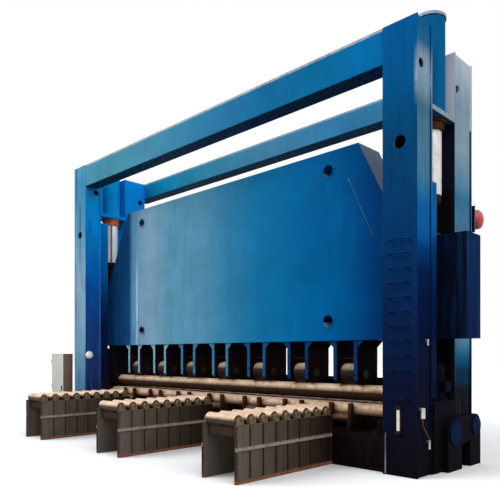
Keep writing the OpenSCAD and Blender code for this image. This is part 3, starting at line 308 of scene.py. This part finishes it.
def turned_metal(name, pale, dark, film, film_share, roughness, groove_mm, metal=1.0, under=None, streak=None,
                 shine=0.3, unshaded_above=0.55):
    """Turned metal, or moulded plastic where metal is 0: two tones in patches, a film of oil, rust or dirt
    in spots, and tool marks across the X axis that are drawn groove_mm wide, because the real ones are too
    fine to show.
    under is the colour of painted shade on whatever looks down, and the last argument tells how steeply a
    place must look up to be free of it; streak is a colour, a level direction and a half width in degrees of
    one upright painted reflection on a round piece."""
    tone_m, spot_m = 0.35, 0.12
    made = bpy.data.materials.new(name)
    made.use_nodes = True
    tree = made.node_tree
    shader = tree.nodes["Principled BSDF"]
    place = put(tree, "TexCoord").outputs["Object"]
    looks = put(tree, "NewGeometry").outputs["Normal"]
    cloud = put(tree, "TexNoise", {"Vector": place, "Scale": 1 / tone_m, "Detail": 6.0, "Roughness": 0.6})
    tone = put(tree, "MapRange", {"Value": cloud.outputs["Fac"], "From Min": 0.35, "From Max": 0.65})
    colour = put(tree, "Mix", {0: tone.outputs[0], 6: linear(dark), 7: linear(pale)}, data_type="RGBA")
    spots = put(tree, "TexNoise", {"Vector": place, "Scale": 1 / spot_m, "Detail": 4.0})
    cover = put(tree, "MapRange", {"Value": spots.outputs["Fac"], "From Min": 0.48, "From Max": 0.68,
                                   "To Max": film_share})
    colour = put(tree, "Mix", {0: cover.outputs[0], 6: colour.outputs[2], 7: linear(film)}, data_type="RGBA")
    if under:
        down = put(tree, "MapRange", {"Value": put(tree, "SeparateXYZ", {0: looks}).outputs["Z"],
                                      "From Min": unshaded_above, "From Max": unshaded_above - 0.6})
        colour = put(tree, "Mix", {0: down.outputs[0], 6: colour.outputs[2], 7: linear(under)},
                     data_type="RGBA")
    if streak:
        hex_code, azimuth_deg, half_deg = streak
        way = (math.cos(math.radians(azimuth_deg)), math.sin(math.radians(azimuth_deg)), 0.0)
        turn = put(tree, "VectorMath", {0: looks, 1: way}, operation="DOT_PRODUCT")
        reflected = put(tree, "MapRange", {"Value": turn.outputs["Value"], "To Max": 0.9,
                                     "From Min": math.cos(math.radians(half_deg * 1.3)),
                                     "From Max": math.cos(math.radians(half_deg * 0.7))})
        colour = put(tree, "Mix", {0: reflected.outputs[0], 6: colour.outputs[2], 7: linear(hex_code)},
                     data_type="RGBA")
    tree.links.new(colour.outputs[2], shader.inputs["Base Color"])
    shader.inputs["Metallic"].default_value = metal
    shader.inputs["Specular IOR Level"].default_value = shine
    rough = put(tree, "MapRange", {"Value": spots.outputs["Fac"], "From Min": 0.4, "From Max": 0.7,
                                   "To Min": roughness, "To Max": roughness + 0.25})
    tree.links.new(rough.outputs[0], shader.inputs["Roughness"])
    grain = put(tree, "Mapping", {"Vector": place, "Scale": (1000 / groove_mm, 2.0, 2.0)})
    grain = put(tree, "TexNoise", {"Vector": grain.outputs[0], "Scale": 1.0, "Detail": 2.0})
    bump = put(tree, "Bump", {"Height": grain.outputs["Fac"], "Strength": 0.15, "Distance": 0.002})
    tree.links.new(bump.outputs[0], shader.inputs["Normal"])
    return made


raw_bronze = turned_metal("raw_bronze", "#D07A4A", "#A85A34", "#5A2E1C",
                          film_share=0.5, roughness=0.5, groove_mm=15, metal=0.0, shine=0.1)
dress(raw_bronze, "left_gland")
# The right gland is painted dark brown, as shade.
shade_painted_bronze = turned_metal("shade_painted_bronze", "#5A3418", "#2C180C", "#1E120A",
                            film_share=0.6, roughness=0.55, groove_mm=15, metal=0.0, shine=0.05)
dress(shade_painted_bronze, "right_gland")
# Each plunger carries one painted reflection streak.
left_chrome = turned_metal("ground_hard_chrome", "#FFFFFF", "#F2F2F8", "#D8D4D4",
                           film_share=0.2, roughness=0.3, groove_mm=10, metal=0.1,
                           streak=("#0C0A0A", -29, 8))
dress(left_chrome, "left_plunger")
right_chrome = turned_metal("reflection_streaked_chrome", "#F0EEF0", "#DCD8DA", "#C4B0A6",
                            film_share=0.3, roughness=0.3, groove_mm=10, metal=0.1,
                            streak=("#B08878", -75, 12))
dress(right_chrome, "right_plunger")
oiled_steel = turned_metal("dark_oiled_steel", "#261F1B", "#151110", "#2A190E",
                           film_share=0.5, roughness=0.55, groove_mm=12, metal=0.1, shine=0.08)
dress(oiled_steel, "left_knuckle", "right_knuckle")

# Guide rails: machined bars on the columns that the beam's shoulders slide along.
# Blue enamel, deep navy lower down; the rear rails are painted near black, as the shade deep in the portals.
guide_enamel = enamel("blue_guide_enamel", ("Z", [(1.4, "#0E1430"), (2.2, "#0C1A40"), (3.2, "#0A2250"),
                                                  (4.2, "#0A4684"), (4.8, "#0A64AC"), (6.5, "#0876BE")]),
                      marks=[("#15100F", 1.0, {"Y": (0.28, 0.36)})], stain="#06244C", stain_share=0.4)
dress(guide_enamel, "beam_guides")

# Press beam: a deep plate box that slides in the portals and presses the upper roll down.
# Bright blue enamel, painted paler over the left half as a reflection of light from the left; the ends that
# slide in the portals are painted navy as shade, with a sharp painted shadow edge near the left end.
beam_enamel = enamel("blue_beam_enamel",
                     ("X", [(-6.6, "#0C2C54"), (-4.2, "#103D6A"), (-4.04, "#4E86AC"), (-3.6, "#7099B8"),
                            (-3.1, "#7A9EB6"), (-2.1, "#5A93B0"), (-0.8, "#528CAB"), (0.4, "#2E7BA4"),
                            (1.46, "#116EA0"), (2.7, "#04649D"), (3.84, "#015894"), (4.6, "#023E79"),
                            (5.0, "#042C5C"), (5.4, "#0C1730"), (6.1, "#0D1428"), (6.62, "#0E152E")]),
                     ends=("Z", [(2.5, "#081948"), (4.4, "#02295A"), (6.6, "#0A4A80")]),
                     # A painted highlight line runs down the front beside the left shadow edge.
                     marks=[("#C4D8E4", 0.7, {"NY": (-1.5, -0.6), "X": (-3.82, -3.75, 0.03),
                                              "Z": (2.3, 5.0, 0.5)}),
                            ("#8492A4", 1.0, {"NZ": (0.2, 1.5, 0.05)})],
                     stain="#1B6496", stain_share=0.22, run_mm=120, roughness=0.4)
dress(beam_enamel, "press_beam")


# Beam seams: weld beads where the sloped end plates join the front plate, painted with the beam.
# The scales are drawn 40 mm apart, coarser than real ones, so that they show.
def ringed(name, rings):
    """Closed piece through rings of points, an array of ring by point by XYZ. Each ring goes round
    anticlockwise as seen from the last one; quads join neighbours, and one face closes either end."""
    count, corners = rings.shape[:2]
    first = np.arange(count - 1)[:, None] * corners + np.arange(corners)
    second = np.arange(count - 1)[:, None] * corners + (np.arange(corners) + 1) % corners
    quads = np.stack([first, second, second + corners, first + corners], axis=-1).reshape(-1, 4)
    ends = [np.arange(corners)[::-1].tolist(), (np.arange(corners) + (count - 1) * corners).tolist()]
    mesh = bpy.data.meshes.new(name)
    mesh.from_pydata(rings.reshape(-1, 3).tolist(), [], quads.tolist() + ends)
    piece = bpy.data.objects.new(name, mesh)
    bpy.context.scene.collection.objects.link(piece)
    return piece


def swept_round(name, path, radius, corners=8, ripple=0.0):
    """Round bar: circles set square to the points of a path, closed at both ends. They are squared up by Z,
    or by X where the path is steep. radius is one number, or one for each point. ripple makes every second
    circle larger and the others smaller, like weld scales."""
    path = np.asarray(path, dtype=float)
    run = np.gradient(path, axis=0)
    run /= np.linalg.norm(run, axis=1, keepdims=True)
    steep = 0.9
    up = np.where(np.abs(run[:, 2:]) < steep, [[0.0, 0.0, 1.0]], [[1.0, 0.0, 0.0]])
    side = np.cross(run, up)
    side /= np.linalg.norm(side, axis=1, keepdims=True)
    over = np.cross(side, run)
    turn = np.linspace(2 * np.pi, 0, corners, endpoint=False)
    size = radius * (1 + ripple * (-1.0) ** np.arange(len(path)))
    circles = np.cos(turn)[None, :, None] * side[:, None] + np.sin(turn)[None, :, None] * over[:, None]
    piece = ringed(name, path[:, None] + size[:, None, None] * circles)
    piece.data.shade_smooth()
    return piece


cheek_set_back, seam_radius, seam_points = 0.010, 0.009, 37
seam_top_x, seam_top_z, seam_foot_x, seam_foot_z = 4.05, 5.93, 4.66, 4.60
beam_front_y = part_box("upper_brackets")[0][1] - cheek_set_back
for side, label in ((-1, "left"), (1, "right")):
    seam_top = (side * seam_top_x, beam_front_y, seam_top_z)
    seam_foot = (side * seam_foot_x, beam_front_y, seam_foot_z)
    seam = swept_round(f"{label}_beam_seam", np.linspace(seam_top, seam_foot, seam_points), seam_radius,
                       corners=6, ripple=0.12)
    seam.data.materials.append(beam_enamel)
    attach(seam, "press")

# Upper comb: pairs of thick cheek plates welded under the beam, with gussets and a stay plate.
# The front edges are blue, paler towards the left; the sides are painted black-brown, as the shade between
# the plates.
comb_enamel = enamel("shade_painted_comb_enamel", ("Z", [(1.5, "#17100F"), (2.0, "#1A1212"), (2.5, "#141018")]),
                     marks=[("#82B4CD", 0.9, {"NY": (-1.5, -0.6), "Y": (-0.4, -0.25), "X": (-9.0, -1.9)}),
                            ("#3F83AC", 0.9, {"NY": (-1.5, -0.6), "Y": (-0.4, -0.25), "X": (-1.9, 0.7)}),
                            ("#17588C", 0.9, {"NY": (-1.5, -0.6), "Y": (-0.4, -0.25), "X": (0.7, 2.2)}),
                            ("#0A3A70", 0.9, {"NY": (-1.5, -0.6), "Y": (-0.4, -0.25), "X": (2.2, 9.0)})],
                     stain="#341C12", stain_share=0.6, run_mm=70, roughness=0.5)
dress(comb_enamel, "upper_brackets")
black_enamel = enamel("oily_black_enamel", ("Z", [(0.6, "#140E0C"), (1.2, "#1A1210"), (2.5, "#0E0F1C")]),
                      stain="#2E1B10", stain_share=0.6, run_mm=70, roughness=0.5)
dress(black_enamel, "upper_roll_bearings", "lower_roll_bearings")
dress(oiled_steel, "upper_backing_pins", "lower_backing_pins", "front_coupling", "rear_coupling")


# Comb tie: a flat bar with eased edges, welded along the rear edges of the cheek plates near their feet.
# It keeps the plates in line and closes the gaps under the cheeks, where only shade shows; it has the plates'
# dark paint, which stands in for that shade.
def straight_section(name, outline, run, start, end, steps):
    """Straight bar or folded sheet: one closed outline, points in YZ or XY that go round anticlockwise, is
    carried in equal steps from start to end along X or Z."""
    along = np.linspace(start, end, steps + 1)[:, None, None]
    flat = np.broadcast_to(outline, (steps + 1, len(outline), 2))
    points = np.concatenate([flat, np.broadcast_to(along, (steps + 1, len(outline), 1))], axis=2)
    return ringed(name, np.roll(points, {"X": 1, "Z": 0}[run], axis=2))


comb_low, comb_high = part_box("upper_brackets")
tie_t, tie_h, tie_overhang, tie_ease, bar_steps = 0.022, 0.200, 0.069, 0.006, 40
tie_front, tie_back = comb_high[1], comb_high[1] + tie_t
tie_foot, tie_top = comb_low[2] - tie_overhang, comb_low[2] - tie_overhang + tie_h
comb_tie = straight_section("comb_tie", np.array([
    (tie_front, tie_foot), (tie_back - tie_ease, tie_foot), (tie_back, tie_foot + tie_ease),
    (tie_back, tie_top - tie_ease), (tie_back - tie_ease, tie_top), (tie_front, tie_top)]),
    "X", comb_low[0], comb_high[0], bar_steps)
comb_tie.data.materials.append(comb_enamel)
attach(comb_tie, "press")

# Lower comb: cheek plates with W-shaped saddles, welded in pairs on sole plates that stand on the bed.
# Their paint is brown with oil and scale dust, and a little paler on the horns.
saddle_enamel = enamel("oily_saddle_enamel", ("Z", [(0.62, "#1C120E"), (1.0, "#38241A"), (1.2, "#4A3020")]),
                       stain="#150C0A", stain_share=0.6, run_mm=60, roughness=0.5)
dress(saddle_enamel, "lower_brackets")

# Scale guard: an upright flat bar with eased edges, welded along the rear top edge of the bed.
# It keeps oil and mill scale on the bed and has the bed's paint. It also closes the view under the rolls to
# the rear, where only shade shows, and its near-black paint stands in for that shade.
bed_low, bed_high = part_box("bed")
bar_t, bar_h, bar_inset, bar_ease = 0.016, 0.21, 0.029, 0.004
bar_front, bar_back = bed_high[1] - bar_inset - bar_t, bed_high[1] - bar_inset
bar_foot, bar_top = bed_high[2], bed_high[2] + bar_h
scale_guard = straight_section("scale_guard", np.array([
    (bar_front, bar_foot), (bar_back, bar_foot), (bar_back, bar_top - bar_ease),
    (bar_back - bar_ease, bar_top), (bar_front + bar_ease, bar_top), (bar_front, bar_top - bar_ease)]),
    "X", bed_low[0], bed_high[0], bar_steps)
scale_guard.data.materials.append(bed_enamel)
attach(scale_guard, "frame")

# Rolls: forged steel bars, turned and then browned by a thin film of rust.
# They are bright cream where the plate rubs them. Whatever looks down on them and on the backing rollers is
# painted dark brown as shade, so that only the tops stay cream.
roll_steel = turned_metal("rust_filmed_roll_steel", "#DCC4A8", "#C2A284", "#8A5F40",
                          film_share=0.5, roughness=0.45, groove_mm=25, metal=0.1,
                          under="#2E1A0C", shine=0.1, unshaded_above=0.64)
dress(roll_steel, "upper_roll")
lower_steel = turned_metal("browned_roll_steel", "#C2A68C", "#A6886E", "#7A553C",
                           film_share=0.5, roughness=0.45, groove_mm=25, metal=0.1,
                           under="#8A6A54", shine=0.2, unshaded_above=-0.1)
dress(lower_steel, "front_lower_roll", "rear_lower_roll")
backing_steel = turned_metal("worn_backing_steel", "#CDB89C", "#A48C70", "#7A553C",
                             film_share=0.4, roughness=0.45, groove_mm=20, metal=0.1,
                             under="#1E1009", shine=0.1, unshaded_above=0.88)
dress(backing_steel, "upper_backing_rollers")
greasy_steel = turned_metal("greasy_backing_steel", "#6A4A34", "#4A3222", "#2A180E",
                            film_share=0.5, roughness=0.5, groove_mm=20, metal=0.1,
                            under="#1A0E08", shine=0.2)
dress(greasy_steel, *[f"backing_row_{k}" for k in range(1, 5)])

# Drive: a cast reducer in the right portal with a flat gear case outside and a finned flange motor on top.
# Dark enamel under oil, with a navy cast on the round covers.
drive_enamel = enamel("oily_drive_enamel", ("Z", [(0.0, "#0E0B0C"), (1.3, "#101018"), (2.1, "#0E1222")]),
                      marks=[("#08244A", 0.75, {"X": (6.26, 6.5)})], stain="#22160F", stain_share=0.4)
dress(drive_enamel, "reducer", "gear_case", "drive_motor")

# Sight gauge: a milky moulded tube that shows the oil level, held in a frame of dark steel.
# The frame is screwed to the front of the right front column, near its foot.
milky_tube = turned_metal("milky_acrylic", "#F4F0E6", "#E4DED0", "#C8B490",
                          film_share=0.3, roughness=0.25, groove_mm=30, metal=0.0)
dress(milky_tube, "gauge_tube")
dress(oiled_steel, "gauge_frame")

# Lubricators: glass-bright turned bowls screwed to the column's outer side, the two lower ones joined by a
# bent copper pipe that has gone brown.
bowl_metal = turned_metal("bright_turned_metal", "#D4D6D8", "#A4A8AC", "#6A5A4C",
                          film_share=0.4, roughness=0.3, groove_mm=10, metal=0.5)
dress(bowl_metal, "lubricators")
flange_lip, upper_stand, lower_stand, oil_radius, oil_bend = 0.018, 0.053, 0.031, 0.008, 0.06
web_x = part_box("right_front_column")[1][0] - flange_lip
upper_x, upper_y, upper_foot = web_x + upper_stand, -1.012, 1.056
lower_x, lower_y, lower_head = web_x + lower_stand, -0.724, 0.64
bend_angles = np.linspace(0, np.pi / 2, 7)
oil_path = np.concatenate([
    np.column_stack([np.full(7, upper_x), np.full(7, upper_y), np.linspace(upper_foot, 0.96, 7)]),
    np.column_stack([np.full(7, upper_x), upper_y + oil_bend * (1 - np.cos(bend_angles)),
                     0.95 - oil_bend * np.sin(bend_angles)]),
    np.column_stack([np.linspace(upper_x, lower_x, 9), np.linspace(-0.94, -0.74, 9),
                     np.linspace(0.86, 0.70, 9)]),
    np.column_stack([np.full(4, lower_x), np.full(4, lower_y), np.linspace(0.68, lower_head, 4)])])
oil_pipe = swept_round("oil_pipe", oil_path, oil_radius)
brown_copper = turned_metal("browned_copper", "#8A5A3A", "#5E3A24", "#2E1C12",
                            film_share=0.5, roughness=0.35, groove_mm=10, metal=0.6)
oil_pipe.data.materials.append(brown_copper)
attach(oil_pipe, "frame")

# Conduit: a thin steel pipe for cables, up the front of the right front column from the floor.
# Its top is bent into the column, and its grey paint is paler near the floor.
conduit_radius, conduit_gap, conduit_rise, top_reach, top_h = 0.013, 0.003, 0.70, 0.03, 0.06
conduit_x, conduit_y = 5.47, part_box("right_front_column")[0][1] - (conduit_radius + conduit_gap)
conduit_path = np.concatenate([
    np.column_stack([np.full(12, conduit_x), np.full(12, conduit_y), np.linspace(0.0, conduit_rise, 12)]),
    np.column_stack([np.full(5, conduit_x), conduit_y + top_reach * (1 - np.cos(bend_angles[2:])),
                     conduit_rise + top_h * np.sin(bend_angles[2:])])])
conduit = swept_round("front_conduit", conduit_path, conduit_radius)
pale_paint = enamel("pale_conduit_enamel", ("Z", [(0.0, "#8890A6"), (0.25, "#868EA0"), (0.45, "#5A5C68"),
                                                  (0.8, "#62636C")]), stain="#40424C", stain_share=0.5)
conduit.data.materials.append(pale_paint)
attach(conduit, "frame")

# End guard: a sheet with three pressed ribs and bent flanges, screwed between the two columns of the left
# It keeps hands out of the slot and fills the gap between the columns, where only shade shows. Outside it has
# the portal's blue; inside it is painted a violet blue, lighter than outside and brighter upwards, to make up
# for the shade it stands in.
front_y, rear_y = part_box("left_front_column")[1][1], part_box("left_rear_column")[0][1]
sheet_inset, sheet_t, sheet_bend, lip_w, slide_room = 0.012, 0.004, 0.010, 0.042, 0.085
rib_depth, rib_count, draw_in = 0.012, 3, 0.01
sheet_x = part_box("left_front_column")[0][0] + sheet_inset
lip_x, bend_x, guard_top = sheet_x + lip_w, sheet_x + sheet_bend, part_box("press_beam")[0][2] - slide_room
across = np.linspace(rear_y - sheet_bend, front_y + sheet_bend, 49)
ribs = sheet_x + rib_depth * np.clip(
    2 * np.sin((across - front_y) / (rear_y - front_y) * 2 * rib_count * np.pi), 0, 1)
outer_skin = np.concatenate([[(lip_x, rear_y), (bend_x, rear_y)], np.column_stack([ribs, across]),
                             [(bend_x, front_y), (lip_x, front_y)]])
# The inner skin is a little narrower, so that the sheet keeps its thickness in the bends.
inner_across = across * (1 - draw_in) + draw_in * across.mean()
inner_skin = np.concatenate([[(lip_x, front_y + sheet_t), (bend_x, front_y + sheet_t)],
                             np.column_stack([ribs + sheet_t, inner_across])[::-1],
                             [(bend_x, rear_y - sheet_t), (lip_x, rear_y - sheet_t)]])
end_guard = straight_section("end_guard", np.concatenate([outer_skin, inner_skin]), "Z", 0.0, guard_top, 12)
guard_enamel = enamel("guard_enamel_with_painted_light", ("Z", [(0.0, "#3A3038"), (1.2, "#4E4052"), (1.7, "#5058A0"),
                                                  (2.4, "#5A62C0")]),
                      marks=[("#12386E", 1.0, {"NX": (-1.5, -0.1)})],
                      stain="#2E1B10", stain_share=0.4, run_mm=70, roughness=0.5)
end_guard.data.materials.append(guard_enamel)
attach(end_guard, "frame")

# Supply pipes: steel pipe that comes up through a flange on each crown plate and turns into the ram's barrel.
# It is painted with the barrels.
pipe_radius, pipe_rise, pipe_sink, widest_elbow, shortest_end = 0.038, 0.85, 0.03, 0.09, 0.02
flange_radius, flange_t, foot_x, foot_y = 0.065, 0.03, 5.61, -0.452
for side, label in ((-1, "left"), (1, "right")):
    barrel_low, barrel_high = (np.array(corner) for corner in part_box(f"{label}_ram_barrel"))
    foot = np.array([side * foot_x, foot_y])
    towards = (barrel_low + barrel_high)[:2] / 2 - foot
    reach = np.linalg.norm(towards) - (barrel_high[1] - barrel_low[1]) / 2 + pipe_sink
    towards /= np.linalg.norm(towards)
    elbow = min(widest_elbow, reach - shortest_end)
    away = np.concatenate([np.zeros(11), elbow * (1 - np.cos(bend_angles[1:])), [reach]])
    rises = np.concatenate([[0.0, flange_t, flange_t + 0.002], np.linspace(0.1, pipe_rise, 8),
                            pipe_rise + elbow * np.sin(bend_angles[1:]), [pipe_rise + elbow]])
    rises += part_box(f"{label}_crown_plate")[1][2]
    radii = np.where(np.arange(len(away)) < 2, flange_radius, pipe_radius)
    pipe_path = np.column_stack([foot + away[:, None] * towards, rises])
    pipe = swept_round(f"{label}_supply_pipe", pipe_path, radii, corners=16)
    pipe.data.materials.append(barrel_enamel)
    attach(pipe, "frame")

# Lamp: a round bulkhead light, screwed to the inner side of the left front column.
# Its cover is moulded in milky polycarbonate and looks nearly white.
lamp_steps = np.array([0.0, 0.028, 0.030, 0.045, 0.060, 0.072, 0.080, 0.084])
lamp_radii = np.array([0.125, 0.125, 0.112, 0.108, 0.095, 0.070, 0.040, 0.012])
lamp_y, lamp_z = -1.014, 2.19
lamp_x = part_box("left_front_column")[1][0] + lamp_steps
lamp_path = np.column_stack([lamp_x, np.full(8, lamp_y), np.full(8, lamp_z)])
column_lamp = swept_round("column_lamp", lamp_path, lamp_radii, corners=24)
milky_cover = turned_metal("milky_polycarbonate", "#FFFFFF", "#F6F8FF", "#D8DCE8",
                           film_share=0.2, roughness=0.3, groove_mm=30, metal=0.0)
column_lamp.data.materials.append(milky_cover)
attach(column_lamp, "frame")

# Roller tables: ribbed plate walls that carry the plate to the rolls, welded up and set on the floor.
# The old grey paint has gone brown, darker towards the machine; the rails are rubbed pale and the feet rust.
table_enamel = enamel("worn_brown_grey_enamel", ("Z", [(0.0, "#4A3428"), (0.4, "#382B24"), (1.0, "#3E332B")]),
                      ends=("Y", [(-3.7, "#6A6159"), (-3.0, "#5A5149"), (-2.1, "#453A32"),
                                  (-1.05, "#1E1512")]),
                      marks=[("#2A211D", 0.65, {"X": (0.445, 0.48)}),
                             ("#A0968A", 0.85, {"X": (0.42, 0.48), "Z": (0.555, 0.62)}),
                             ("#9A6448", 0.75, {"X": (0.42, 0.48), "Z": (-0.05, 0.065)}),
                             ("#7A6A50", 0.85, {"Z": (0.99, 1.4)})],
                      stain="#2A1F19", stain_share=0.5, run_mm=90, fold=(0.1, 3.615), roughness=0.6)
dress(table_enamel, "left_table", "middle_table", "right_table")
# Whatever looks down on the table rollers is painted dark brown as shade.
rubbed_steel = turned_metal("rubbed_table_steel", "#E2C6AE", "#CDAE94", "#9A7458",
                            film_share=0.45, roughness=0.45, groove_mm=25, metal=0.1,
                            under="#3A2820", shine=0.2)
dress(rubbed_steel, *[f"table_roller_{k}" for k in range(1, 10)])

# Cabinet: a folded sheet case with a hinged door, which stands on the floor by itself.
# It is powder coated in light grey; its sides are darker and browner.
cabinet_coat = enamel("light_grey_powder_coat", ("Z", [(0.0, "#9A8F84"), (0.5, "#BEBEB8"), (2.3, "#C6C7C2")]),
                      ends=("Z", [(0.0, "#6A5446"), (2.3, "#8A7060")]), stain="#8A7F74", stain_share=0.3,
                      roughness=0.5)
dress(cabinet_coat, "cabinet", "cabinet_door")
dress(oiled_steel, "cabinet_handle")

# Pressure vessel: a small welded tank on a bracket of the right rear column.
# Its red enamel shines; it is painted pink at the top as a highlight and darker below as shade.
vessel_enamel = enamel("red_vessel_enamel", ("Z", [(4.75, "#7A1420"), (5.0, "#BE2A38"), (5.2, "#D05A66")]),
                       stain="#5A1018", stain_share=0.3, roughness=0.3, shine=0.4)
dress(vessel_enamel, "pressure_vessel")
